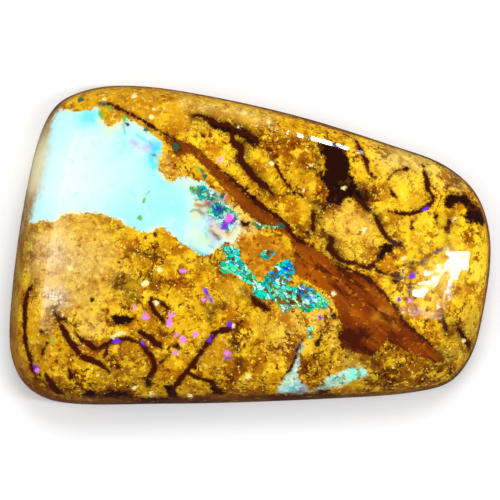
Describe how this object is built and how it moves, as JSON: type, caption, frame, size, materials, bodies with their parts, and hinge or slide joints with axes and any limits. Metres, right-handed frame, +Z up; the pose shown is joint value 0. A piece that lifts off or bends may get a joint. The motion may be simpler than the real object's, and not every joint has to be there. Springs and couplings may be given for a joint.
{
  "type": "polished boulder opal",
  "caption": "Freeform cabochon of boulder opal: golden-brown ironstone with a pale sky-blue opal patch, a glassy brown seam and colour-play veins, on a flat back.",
  "frame": {"origin": "on the flat back the stone rests on, at the middle of the stone's bounding box", "axes": "+X along the stone's long side, from the wide end with the pale opal patch to the narrow end; +Z up out of the polished face"},
  "size_m": [0.032, 0.0212, 0.0058],
  "materials": {
    "stone": "polished"
  },
  "bodies": {
    "root": {"boulder_opal": "stone"}
  },
  "joints": []
}
